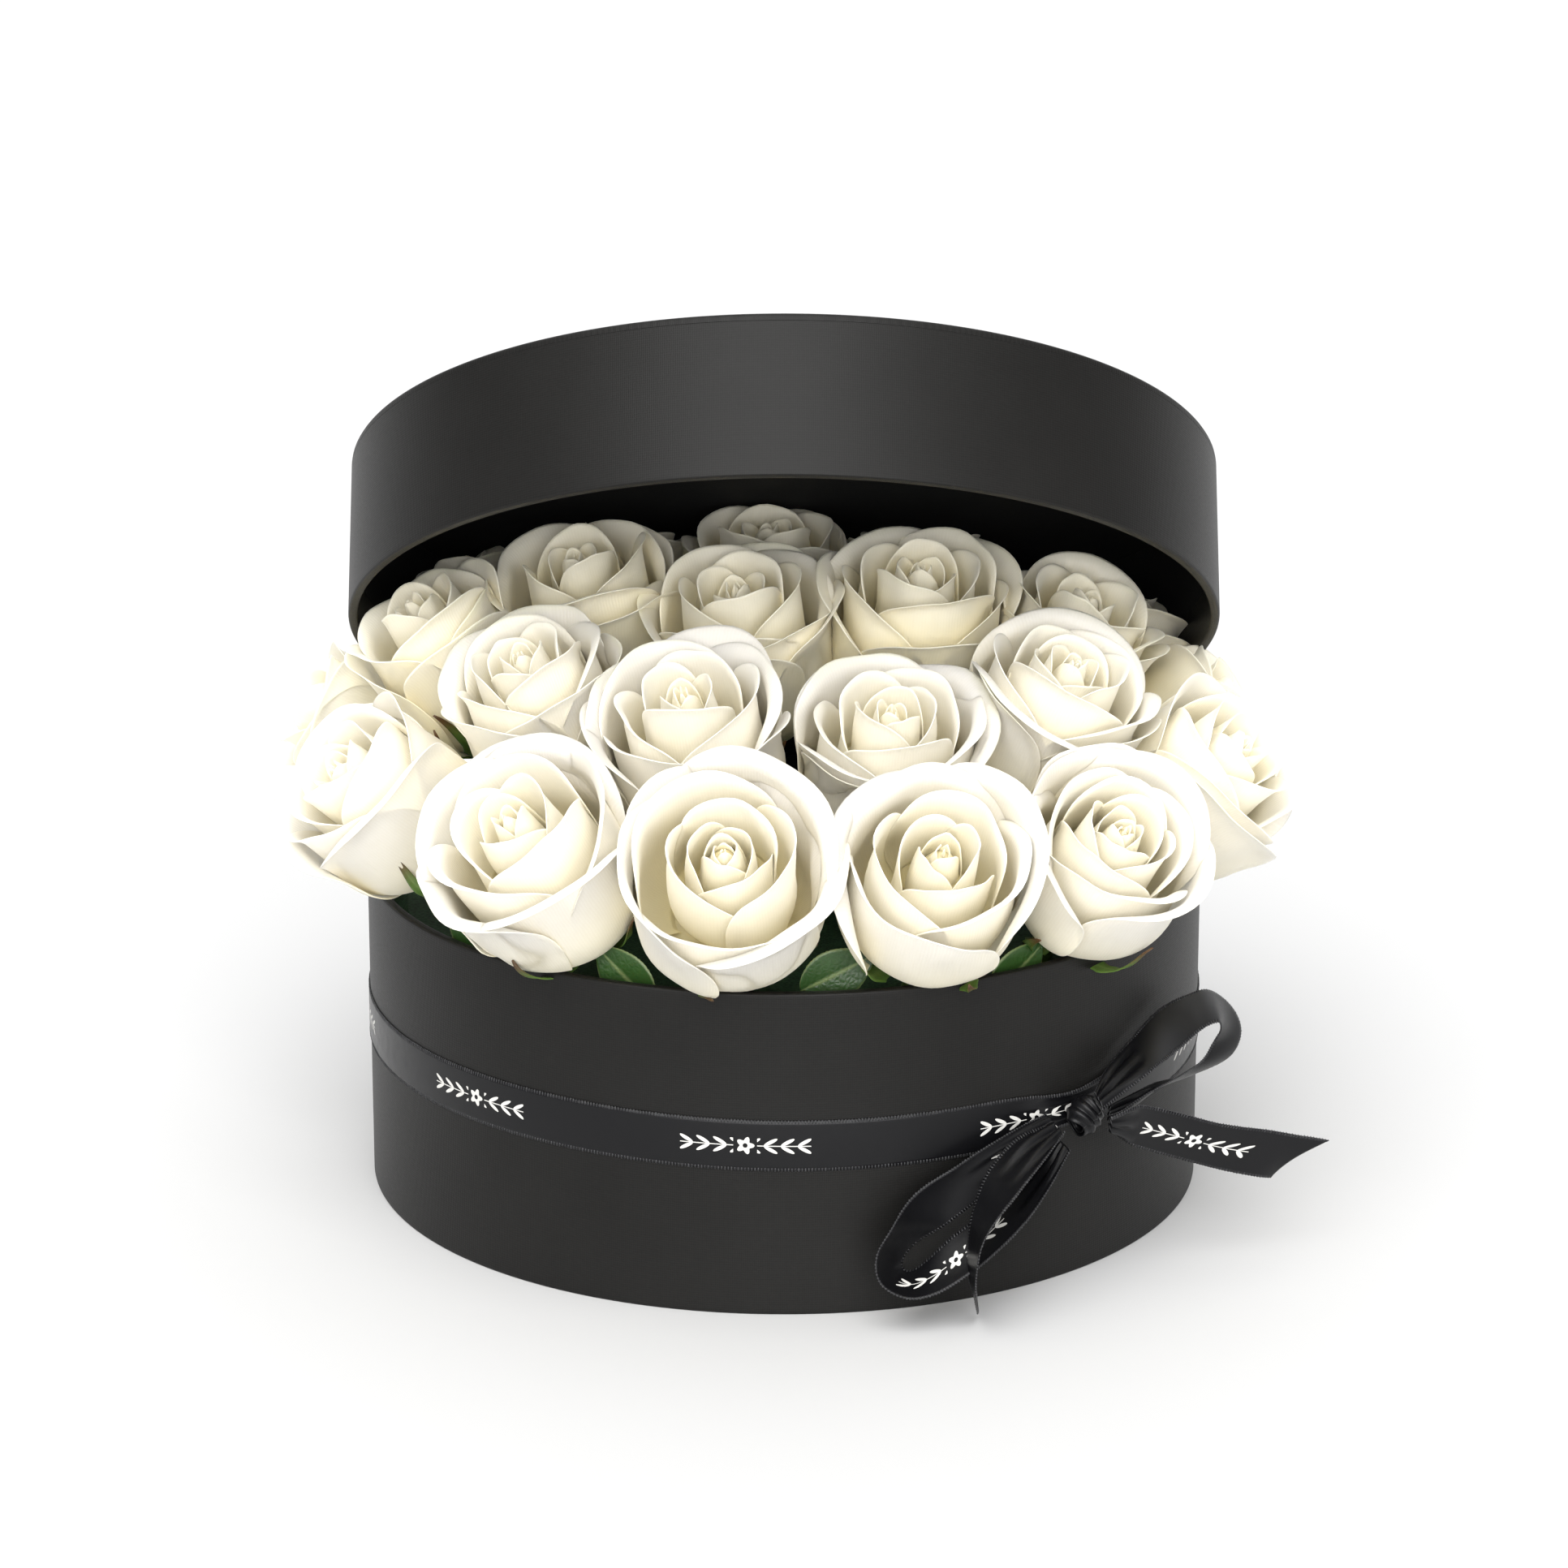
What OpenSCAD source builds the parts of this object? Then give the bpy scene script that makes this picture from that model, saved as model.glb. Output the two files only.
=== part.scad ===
// Round flower box: a paper-covered board box filled with cut roses in floral foam,
// tied with a satin ribbon, with its loose lid leaning open on the flowers.
// Origin: middle of the box's underside. +Z is up, -Y is the front, +X is the right.

/* [Box] */
// Outer radius of the box
box_r = 125; // [123:0.5:125]
// Height of the box
box_h = 97; // [95:0.5:98]
// Thickness of the grey board
board_t = 2; // [1.6:0.1:2]
// Thickness of the covering paper
paper_t = 0.4; // [0.3:0.1:0.4]
// How far the covering paper is turned in below the rims
turn_in = 15; // [10:1:18]

/* [Lid] */
// Outer radius of the lid
lid_r = 130; // [130:0.5:131]
// Height of the lid
lid_h = 48.5; // [48.5:0.5:50]
// How far the lid leans back from level
lid_tilt = 34.7; // [34.5:0.1:35]
// Middle of the lid's open rim, behind the box's axis
lid_y = 11; // [10.5:0.5:11.5]
// Middle of the lid's open rim, above the table
lid_z = 165.3; // [165.3:0.1:167]

/* [Filling] */
// Height of the foam's top face
foam_top = 84; // [80:1:85]
// Height of the plastic liner's lip
liner_top = 78; // [70:1:79]
// Wall of the plastic liner
liner_t = 0.8; // [0.6:0.1:1]
// Radius of a stem
stem_r = 2.5; // [2:0.1:2.6]
// Radius of the swelling where a stem bends
stem_node_r = 3; // [2.8:0.1:3.2]

/* [Ribbon] */
// Width of the ribbon
ribbon_w = 15; // [14:0.5:15]
// Thickness of the ribbon
ribbon_t = 0.4; // [0.3:0.1:0.5]
// Height of the ribbon's middle
ribbon_z = 52; // [48:1:56]

/* [Hidden] */
$fn = 96;

// Each rose: middle of the head [x, y, z], facing (0 = front, 90 = right),
// lean from upright, widest diameter, height of the head.
ROSES = [
    // outer ring, leaning over the rim, from the left side round the front to the right
    [[-128, 24, 130], -88, 64, 40, 44],
    [[-116, -53, 130], -62, 50, 52, 50],
    [[-69, -101, 127], -34, 40, 58, 58],
    [[-16, -121, 127], -2, 46, 60, 58],
    [[42, -119, 126], 8, 44, 54, 56],
    [[90, -91, 123], 24, 44, 52, 54],
    [[119, -42, 132], 66, 48, 50, 54],
    [[119, 11, 133], 86, 52, 44, 48],
    // second row
    [[-99, -8, 159], -72, 30, 42, 54],
    [[-70, -47, 156], -42, 26, 44, 52],
    [[-26, -70, 152], -18, 26, 50, 52],
    [[30, -69, 147], 6, 26, 52, 50],
    [[77, -50, 154], 44, 28, 50, 52],
    // crown
    [[-58, 4, 169], -30, 18, 48, 54],
    [[-12, -15, 165], -20, 18, 52, 54],
    [[39, -9, 169], 15, 18, 48, 54],
    [[84, -3, 160], 60, 22, 42, 50],
    // under the lid
    [[-92, 46, 155], -130, 20, 40, 48],
    [[-49, 48, 164], 180, 16, 44, 44],
    [[-4, 33, 171], 0, 5, 48, 46],
    [[42, 42, 165], 170, 16, 44, 44],
    [[60, 84, 141], 160, 28, 40, 42],
    [[97, 48, 147], 110, 26, 40, 46],
    [[-72, 82, 138], 205, 30, 42, 42],
    [[-27, 86, 140], 190, 30, 42, 42],
    [[17, 84, 142], 175, 30, 42, 42]];

// Each leaf: middle [x, y, z], facing, turn in its own plane.
LEAVES = [
    [[15, -116, 100], 8, 65],
    [[-45, -107, 96], -24, -50],
    [[66, -98, 94], 34, 55],
    [[-91, -76, 101], -50, -35],
    [[104, -62, 103], 58, 40],
    [[-116, -12, 105], -84, 30],
    [[117, -16, 104], 82, -30]];
leaf_length = 24;
leaf_width = 15;
leaf_t = 0.8;

// Ribbon stations: middle of the ribbon [x, y, z], direction across it, share of its width.
LOOP_UPPER = [
    [[90, -101, 56], [-0.2, 1, 0.1], 0.5],
    [[95, -93, 59], [-0.4, 0.9, 0.1], 0.8],
    [[103, -85, 64], [-0.4, 0.9, 0.3], 1],
    [[112, -71, 67], [-0.4, 0.8, 0.5], 1],
    [[120, -62, 69], [-0.2, 0.9, 0.4], 1],
    [[126, -57, 69], [-0.1, 0.9, 0.3], 1],
    [[130, -55, 64], [0.3, 0.9, 0.1], 1],
    [[130, -57, 59], [0.6, 0.8, -0.1], 1],
    [[126, -64, 55], [0.6, 0.8, -0.2], 1],
    [[117, -74, 54], [0.3, 0.9, -0.3], 1],
    [[107, -84, 54], [0.1, 1, -0.2], 1],
    [[99, -94, 53], [0.2, 1, 0.1], 0.8],
    [[93, -102, 53], [0.1, 1, 0.2], 0.5]];
LOOP_LOWER = [
    [[77, -103, 50], [-0.4, -0.4, 0.8], 0.5],
    [[66, -112, 46], [-0.6, -0.5, 0.6], 0.9],
    [[53, -120, 39], [-0.5, -0.4, 0.8], 1],
    [[42, -126, 33], [-0.6, -0.3, 0.7], 1],
    [[34, -130, 26], [-0.5, -0.7, 0.5], 1],
    [[30, -132, 20], [-0.5, -0.8, 0.4], 1],
    [[31, -133, 15], [-0.5, -0.9, 0.1], 1],
    [[36, -133, 13], [-0.2, -1, -0.2], 1],
    [[42, -132, 15], [0, -0.9, -0.4], 1],
    [[49, -129, 19], [0.2, -0.9, -0.5], 1],
    [[57, -125, 24], [0.3, -0.9, -0.4], 1],
    [[65, -119, 30], [0.4, -0.9, -0.3], 1],
    [[73, -112, 37], [0.3, -0.9, -0.1], 0.9],
    [[80, -104, 44], [0.3, -0.9, 0], 0.5]];
TAIL_LOWER = [
    [[78, -110, 51], [-0.4, 0.9, 0.1], 0.6],
    [[70, -119, 48], [-0.5, 0.8, 0.3], 0.9],
    [[62, -128, 42], [-0.5, 0.8, 0.2], 1],
    [[57, -134, 35], [-0.4, 0.9, -0.1], 1],
    [[54, -138, 27], [-0.2, 0.9, -0.3], 1],
    [[53, -139, 18], [-0.1, 0.9, -0.4], 1],
    [[54, -137, 10], [0, 0.9, -0.4], 0.7],
    [[55, -135, 3], [0, 1, -0.2], 0.2]];
TAIL_RIGHT = [
    [[93, -106, 51], [0, -0.6, 0.8], 0.6],
    [[101, -100, 48], [0.1, -0.3, 0.9], 1],
    [[112, -94, 43], [0.1, -0.2, 1], 1],
    [[126, -88, 37], [0.1, -0.2, 1], 1],
    [[139, -83, 33], [0.2, -0.1, 1], 1],
    [[146, -80, 31], [0.4, -0.1, 0.9], 1],
    [[153, -78, 30], [0.7, 0, 0.7], 1]];
steps_per_station = 3;
knot_angle = 41;
knot_r = 6;
knot_length = 10;
knot_tilt = 35;

board_out = box_r - paper_t;
board_in = board_out - board_t;
lining_in = board_in - paper_t;
base_turn = 15;
floor_z = board_t + 2 * paper_t;
liner_r = lining_in - 2.2;
liner_lip = 1.6;
foam_edge = 6;
head_facets = 11;
head_base_turn = 0.10;
head_span_turn = 0.62;
calyx_h = 9;
calyx_r = 6.5;
neck_l = 10;
stem_end_z = 30;
stem_draw_in = 0.72;
tray_floor = floor_z + liner_t;

linen = "#343430";
lining_black = "#161616";
board_grey = "#8a857c";
satin = "#141416";
petal = "#f5efdc";
leaf_green = "#3f5c27";
stem_green = "#55712f";
foam_green = "#3c6b44";

// A turned ring from radius ra to rb and height za to zb.
module ring(ra, rb, za, zb) {
    rotate_extrude() translate([ra, za]) square([rb - ra, zb - za]);
}

module disc(r, za, zb) {
    translate([0, 0, za]) cylinder(r = r, h = zb - za);
}

// A straight rod of radius r from point a to point b.
module rod(a, b, r) {
    d = b - a;
    translate(a)
        rotate([0, acos(d[2] / norm(d)), atan2(d[1], d[0])])
            cylinder(r = r, h = norm(d), $fn = 24);
}

// ---- Box ----

module box_wall() {
    color(board_grey) ring(board_in, board_out, paper_t, box_h - paper_t);
}

module box_base() {
    color(board_grey) disc(board_in, paper_t, paper_t + board_t);
}

// Outer skin, turned over the rim and down inside, and turned under the base.
module box_wrap() {
    color(linen) rotate_extrude() polygon([
        [box_r - base_turn, 0], [box_r, 0], [box_r, box_h], [lining_in, box_h],
        [lining_in, box_h - turn_in], [board_in, box_h - turn_in],
        [board_in, box_h - paper_t], [board_out, box_h - paper_t],
        [board_out, paper_t], [box_r - base_turn, paper_t]]);
}

module base_cover() {
    color(linen) disc(box_r - base_turn, 0, paper_t);
}

module box_lining() {
    color(lining_black) rotate_extrude() polygon([
        [0, floor_z - paper_t], [board_in, floor_z - paper_t], [board_in, box_h - turn_in],
        [lining_in, box_h - turn_in], [lining_in, floor_z], [0, floor_z]]);
}

// ---- Filling ----

module liner_tray() {
    color("#2b2e2b") rotate_extrude() polygon([
        [0, floor_z], [liner_r, floor_z], [liner_r, liner_top - liner_t],
        [liner_r + liner_lip, liner_top - liner_t], [liner_r + liner_lip, liner_top],
        [liner_r - liner_t, liner_top], [liner_r - liner_t, tray_floor], [0, tray_floor]]);
}

// Direction in which a rose faces, from its facing and its lean.
function facing(rose) =
    [sin(rose[1]) * sin(rose[2]), -cos(rose[1]) * sin(rose[2]), cos(rose[2])];
function head_base(rose) = rose[0] - facing(rose) * rose[4] / 2;
function stem_top(rose) = head_base(rose) - facing(rose) * calyx_h;
function stem_bend(rose) = stem_top(rose) - facing(rose) * neck_l;
function stem_foot(rose) =
    [stem_bend(rose)[0] * stem_draw_in, stem_bend(rose)[1] * stem_draw_in, stem_end_z];

// One block with a bevelled top edge. The stems are pushed into it.
module floral_foam() {
    foam_r = liner_r - liner_t;
    color(foam_green) rotate_extrude() polygon([
        [0, tray_floor], [foam_r, tray_floor], [foam_r, foam_top - foam_edge],
        [foam_r - foam_edge, foam_top], [0, foam_top]]);
}

module stems() {
    color(stem_green) for (rose = ROSES) {
        union() {
            rod(stem_foot(rose), stem_bend(rose), stem_r);
            translate(stem_bend(rose)) sphere(r = stem_node_r, $fn = 24);
            rod(stem_bend(rose), stem_top(rose), stem_r);
        }
    }
}

// Puts a shape drawn upwards from the origin at the base of a rose's head.
module at_head(rose) {
    translate(head_base(rose)) rotate([0, rose[2], rose[1] - 90]) children();
}

module calyxes() {
    color(leaf_green) for (rose = ROSES)
        at_head(rose) rotate_extrude($fn = 36) polygon([
            [0, -calyx_h], [stem_r, -calyx_h], [0.85 * calyx_r, -0.65 * calyx_h],
            [calyx_r, -0.25 * calyx_h], [calyx_r, 0], [0, 0]]);
}

module leaves() {
    arc_r = (leaf_length * leaf_length + leaf_width * leaf_width) / (4 * leaf_width);
    offset_x = arc_r - leaf_width / 2;
    color(leaf_green) for (leaf = LEAVES)
        translate(leaf[0]) rotate([0, 0, leaf[1]]) rotate([90, leaf[2], 0])
            linear_extrude(leaf_t, center = true) intersection() {
                translate([-offset_x, 0]) circle(arc_r);
                translate([offset_x, 0]) circle(arc_r);
            }
}

// Radius of a head at t, 0 at the base and 1 at the top, as a share of its widest.
function head_share(t) = pow(sin(180 * (head_base_turn + head_span_turn * t)), 0.9);

module rose_head(rose) {
    r = rose[3] / 2;
    h = rose[4];
    color(petal) at_head(rose) rotate_extrude($fn = 48) polygon(concat(
        [[0, 0]],
        [for (i = [0 : head_facets]) [r * head_share(i / head_facets), 0.94 * h * i / head_facets]],
        [[0.45 * r, h], [0, h]]));
}

// ---- Lid ----

// Puts a shape drawn on a level lid, rim at z = 0, where the lid leans.
module lid_pose() {
    translate([0, lid_y, lid_z]) rotate([-lid_tilt, 0, 0]) children();
}

lid_board_out = lid_r - paper_t;
lid_board_in = lid_board_out - board_t;
lid_lining_in = lid_board_in - paper_t;
lid_board_top = lid_h - paper_t;
lid_shoulder = lid_board_top - board_t;

module lid_wall() {
    color(board_grey) lid_pose() ring(lid_board_in, lid_board_out, paper_t, lid_shoulder);
}

module lid_top() {
    color(board_grey) lid_pose() disc(lid_board_out, lid_shoulder, lid_board_top);
}

module lid_wall_wrap() {
    color(linen) lid_pose() rotate_extrude() polygon([
        [lid_lining_in, 0], [lid_r, 0], [lid_r, lid_shoulder], [lid_board_out, lid_shoulder],
        [lid_board_out, paper_t], [lid_board_in, paper_t], [lid_board_in, turn_in],
        [lid_lining_in, turn_in]]);
}

module lid_top_wrap() {
    color(linen) lid_pose() rotate_extrude() polygon([
        [0, lid_board_top], [lid_board_out, lid_board_top], [lid_board_out, lid_shoulder],
        [lid_r, lid_shoulder], [lid_r, lid_h], [0, lid_h]]);
}

module lid_lining() {
    color(lining_black) lid_pose() rotate_extrude() polygon([
        [lid_lining_in, turn_in], [lid_board_in, turn_in], [lid_board_in, lid_shoulder],
        [0, lid_shoulder], [0, lid_shoulder - paper_t],
        [lid_lining_in, lid_shoulder - paper_t]]);
}

// ---- Ribbon ----

module ribbon_band() {
    color(satin)
        ring(box_r, box_r + ribbon_t, ribbon_z - ribbon_w / 2, ribbon_z + ribbon_w / 2);
}

module ribbon_knot() {
    color(satin)
        rotate([0, 0, knot_angle - 90])
            translate([box_r + ribbon_t + knot_r, 0, ribbon_z - 1])
                rotate([90 + knot_tilt, 0, 0])
                    rotate_extrude($fn = 36) polygon([
                        [0, -knot_length / 2], [0.75 * knot_r, -knot_length / 2],
                        [knot_r, -knot_length / 5], [knot_r, knot_length / 5],
                        [0.75 * knot_r, knot_length / 2], [0, knot_length / 2]]);
}

// Smooth curve through a, b, c, d between b and c, at t from 0 to 1.
function curve(a, b, c, d, t) = 0.5 * (2 * b + (c - a) * t
    + (2 * a - 5 * b + 4 * c - d) * t * t + (3 * b - a - 3 * c + d) * t * t * t);

function along(list, field, i, t) = curve(
    list[max(i - 1, 0)][field], list[i][field],
    list[min(i + 1, len(list) - 1)][field], list[min(i + 2, len(list) - 1)][field], t);

function unit(v) = v / norm(v);

// Fills in a station list with steps between its stations.
function smooth(list) = concat(
    [for (i = [0 : len(list) - 2]) for (k = [0 : steps_per_station - 1])
        let (t = k / steps_per_station)
        [along(list, 0, i, t), unit(along(list, 1, i, t)), along(list, 2, i, t)]],
    [[list[len(list) - 1][0], unit(list[len(list) - 1][1]), list[len(list) - 1][2]]]);

// A flat ribbon swept along a list of stations.
module ribbon_strip(list) {
    path = smooth(list);
    last = len(path) - 1;
    corners = [for (i = [0 : last])
        let (run = path[min(i + 1, last)][0] - path[max(i - 1, 0)][0],
            across = path[i][1] * path[i][2] * ribbon_w / 2,
            through = unit(cross(run, across)) * ribbon_t / 2)
        each [path[i][0] - across - through, path[i][0] + across - through,
            path[i][0] + across + through, path[i][0] - across + through]];
    sides = [for (i = [0 : last - 1]) for (k = [0 : 3])
        let (a = 4 * i + k, b = 4 * i + (k + 1) % 4)
        each [[a, a + 4, b], [b, a + 4, b + 4]]];
    end = 4 * last;
    color(satin) polyhedron(corners, concat(
        [[0, 1, 2], [0, 2, 3], [end, end + 2, end + 1], [end, end + 3, end + 2]], sides));
}

box_wall();
box_base();
box_wrap();
base_cover();
box_lining();
liner_tray();
floral_foam();
lid_wall();
lid_top();
lid_wall_wrap();
lid_top_wrap();
lid_lining();
ribbon_band();
ribbon_knot();
ribbon_strip(LOOP_UPPER);  // ribbon_loop_upper
ribbon_strip(LOOP_LOWER);  // ribbon_loop_lower
ribbon_strip(TAIL_RIGHT);  // ribbon_tail_right
ribbon_strip(TAIL_LOWER);  // ribbon_tail_lower
stems();
calyxes();
leaves();
rose_head(ROSES[0]);  // rose_01
rose_head(ROSES[1]);  // rose_02
rose_head(ROSES[2]);  // rose_03
rose_head(ROSES[3]);  // rose_04
rose_head(ROSES[4]);  // rose_05
rose_head(ROSES[5]);  // rose_06
rose_head(ROSES[6]);  // rose_07
rose_head(ROSES[7]);  // rose_08
rose_head(ROSES[8]);  // rose_09
rose_head(ROSES[9]);  // rose_10
rose_head(ROSES[10]);  // rose_11
rose_head(ROSES[11]);  // rose_12
rose_head(ROSES[12]);  // rose_13
rose_head(ROSES[13]);  // rose_14
rose_head(ROSES[14]);  // rose_15
rose_head(ROSES[15]);  // rose_16
rose_head(ROSES[16]);  // rose_17
rose_head(ROSES[17]);  // rose_18
rose_head(ROSES[18]);  // rose_19
rose_head(ROSES[19]);  // rose_20
rose_head(ROSES[20]);  // rose_21
rose_head(ROSES[21]);  // rose_22
rose_head(ROSES[22]);  // rose_23
rose_head(ROSES[23]);  // rose_24
rose_head(ROSES[24]);  // rose_25
rose_head(ROSES[25]);  // rose_26
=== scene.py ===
# A round paper-covered flower box: cut roses in floral foam, a satin ribbon with its bow,
# and a deep loose lid that leans back over the flowers. Metres; Z is up and -Y is the front.
import bpy
import math
import numpy as np
from mathutils import Matrix, Vector


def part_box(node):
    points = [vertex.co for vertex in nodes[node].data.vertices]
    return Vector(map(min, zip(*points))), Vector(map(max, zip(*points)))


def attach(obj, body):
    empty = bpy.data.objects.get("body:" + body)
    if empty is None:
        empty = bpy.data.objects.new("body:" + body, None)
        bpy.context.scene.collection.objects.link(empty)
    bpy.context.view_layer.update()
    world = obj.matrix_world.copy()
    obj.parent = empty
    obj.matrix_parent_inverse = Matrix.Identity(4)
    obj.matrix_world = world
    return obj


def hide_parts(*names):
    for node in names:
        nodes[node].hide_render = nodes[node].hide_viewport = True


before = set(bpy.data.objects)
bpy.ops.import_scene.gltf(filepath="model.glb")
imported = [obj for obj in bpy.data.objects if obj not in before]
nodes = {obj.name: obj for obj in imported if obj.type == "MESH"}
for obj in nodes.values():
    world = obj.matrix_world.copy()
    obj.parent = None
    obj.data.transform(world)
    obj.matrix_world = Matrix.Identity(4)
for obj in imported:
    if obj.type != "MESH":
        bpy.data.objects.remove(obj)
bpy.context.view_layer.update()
MM = 0.001
BOX_RADIUS = 125 * MM
PAPER = 0.4 * MM    # thickness of the cover paper
WALL = 2.8 * MM     # from the outside of a wall to the inside of the paper turned in over it
TURN_IN = 15 * MM   # how far the cover paper runs on past an edge


# ---------------------------------------------------------------- finishes

def add(tree, kind, links=None, **settings):
    """A shader node with its settings; links maps an input to a value or to another node's output."""
    made = tree.nodes.new(kind)
    for name, value in settings.items():
        setattr(made, name, value)
    for key, value in (links or {}).items():
        if isinstance(value, bpy.types.NodeSocket):
            tree.links.new(value, made.inputs[key])
        else:
            made.inputs[key].default_value = value
    return made


def sums(tree, operation, first, second=0.0, third=0.0):
    """One step of arithmetic on numbers."""
    return add(tree, "ShaderNodeMath", {0: first, 1: second, 2: third}, operation=operation).outputs[0]


def times(tree, first, second):
    """The product of two numbers."""
    return sums(tree, "MULTIPLY", first, second)


def own_space(tree):
    """A place in the object's own space, in metres."""
    return add(tree, "ShaderNodeTexCoord").outputs["Object"]


def noise(tree, place, scale, detail):
    """Cloudy noise, about 0 to 1."""
    return add(tree, "ShaderNodeTexNoise", {"Vector": place, "Scale": scale, "Detail": detail}).outputs[0]


def cloth_parts(tree):
    """The cloth map of a piece in metres: along it, then across it."""
    return add(tree, "ShaderNodeSeparateXYZ",
               {0: add(tree, "ShaderNodeUVMap", uv_map="cloth").outputs[0]}).outputs


def ramp(tree, value, stops):
    """Colours along a value, from a list of (place, colour)."""
    made = add(tree, "ShaderNodeValToRGB", {"Fac": value})
    while len(made.color_ramp.elements) < len(stops):
        made.color_ramp.elements.new(0.5)
    for element, (place, colour) in zip(made.color_ramp.elements, stops):
        element.position = place
        element.color = (*colour, 1.0)
    return made.outputs["Color"]


def blended(tree, share, first, second, way="MIX"):
    """Two colours mixed by a share."""
    made = add(tree, "ShaderNodeMix", data_type="RGBA", blend_type=way)
    for index, value in ((0, share), (6, first), (7, second)):
        if isinstance(value, bpy.types.NodeSocket):
            tree.links.new(value, made.inputs[index])
        else:
            made.inputs[index].default_value = (*value, 1.0) if isinstance(value, tuple) else value
    return made.outputs[2]


def finish(name, **values):
    """A new material and its shader, with constant values set on the shader's own sockets."""
    material = bpy.data.materials.new(name)
    material.use_nodes = True
    tree = material.node_tree
    shader = tree.nodes["Principled BSDF"]
    for key, value in values.items():
        shader.inputs[key.replace("_", " ")].default_value = value
    return material, tree, shader


def raise_surface(tree, shader, height, distance, strength):
    """Bumps the surface by a height."""
    bump = add(tree, "ShaderNodeBump", {"Height": height, "Distance": distance, "Strength": strength})
    tree.links.new(bump.outputs["Normal"], shader.inputs["Normal"])


def threads(tree, along, pitch, wander):
    """Rounded threads side by side, 0 to 1, at a pitch in metres."""
    phase = sums(tree, "MULTIPLY_ADD", along, 2 * math.pi / pitch, wander)
    return sums(tree, "MULTIPLY_ADD", sums(tree, "SINE", phase), 0.5, 0.5)


def linen_paper(name, shade, flat_map):
    """Dyed cover paper embossed with a fine linen weave."""
    material, tree, shader = finish(name, Specular_IOR_Level=0.17)
    if flat_map:
        place = add(tree, "ShaderNodeUVMap", uv_map="cloth").outputs[0]
    else:
        place = own_space(tree)
    parts = add(tree, "ShaderNodeSeparateXYZ", {0: place}).outputs
    solid = own_space(tree)
    wander = noise(tree, solid, 420.0, 2.0)
    sway = times(tree, wander, 5.0)
    warp = threads(tree, parts[0], 0.62 * MM, sway)
    weft = threads(tree, parts[1], 0.70 * MM, sway)
    slub = noise(tree, solid, 1500.0, 3.0)
    weave = times(tree, sums(tree, "ADD", warp, weft), 0.5)
    relief = sums(tree, "MULTIPLY_ADD", slub, 0.55, weave)
    cloud = noise(tree, solid, 28.0, 4.0)
    tone = sums(tree, "MULTIPLY_ADD", relief, 0.5, times(tree, cloud, 0.5))
    low = tuple(0.62 * c for c in shade)
    high = tuple(1.36 * c for c in shade)
    tree.links.new(ramp(tree, tone, [(0.25, low), (0.85, high)]), shader.inputs["Base Color"])
    tree.links.new(sums(tree, "MULTIPLY_ADD", slub, 0.16, 0.36), shader.inputs["Roughness"])
    raise_surface(tree, shader, relief, 0.05 * MM, 0.7)
    return material


def smooth_paper(name, shade):
    """Black lining paper, nearly matt, with a faint tooth."""
    material, tree, shader = finish(name, Specular_IOR_Level=0.3)
    solid = own_space(tree)
    tooth = noise(tree, solid, 1800.0, 3.0)
    cloud = noise(tree, solid, 18.0, 3.0)
    tone = sums(tree, "MULTIPLY_ADD", tooth, 0.35, times(tree, cloud, 0.65))
    tree.links.new(ramp(tree, tone, [(0.3, tuple(0.7 * c for c in shade)),
                                     (0.7, tuple(1.3 * c for c in shade))]), shader.inputs["Base Color"])
    tree.links.new(sums(tree, "MULTIPLY_ADD", tooth, 0.2, 0.66), shader.inputs["Roughness"])
    raise_surface(tree, shader, tooth, 0.03 * MM, 0.5)
    return material


def satin(name, printed):
    """Black satin ribbon: fine threads along it, a corded stitched edge, and a small leaf print."""
    material, tree, shader = finish(name, Specular_IOR_Level=0.25)
    parts = cloth_parts(tree)
    along, across = parts[0], parts[1]
    solid = own_space(tree)
    wander = noise(tree, solid, 300.0, 2.0)
    fine = threads(tree, across, 0.26 * MM, times(tree, wander, 4.0))
    side = sums(tree, "ABSOLUTE", across)
    edge = sums(tree, "GREATER_THAN", side, 6.75 * MM)
    stitch = times(tree, threads(tree, along, 0.85 * MM, 0.0), edge)
    relief = sums(tree, "ADD", times(tree, fine, 0.25), stitch)
    colour = ramp(tree, sums(tree, "MULTIPLY_ADD", stitch, 0.6, times(tree, fine, 0.4)),
                  [(0.0, (0.0025, 0.0025, 0.003)), (0.4, (0.005, 0.005, 0.006)),
                   (1.0, (0.02, 0.02, 0.022))])
    rough = sums(tree, "MULTIPLY_ADD", wander, 0.14, 0.24)
    if printed:
        ink = leaf_print(tree, along, across)
        colour = blended(tree, ink, colour, (0.62, 0.61, 0.58))
        rough = sums(tree, "MULTIPLY_ADD", ink, 0.2, rough)
    tree.links.new(colour, shader.inputs["Base Color"])
    tree.links.new(rough, shader.inputs["Roughness"])
    raise_surface(tree, shader, relief, 0.06 * MM, 0.6)
    return material


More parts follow.
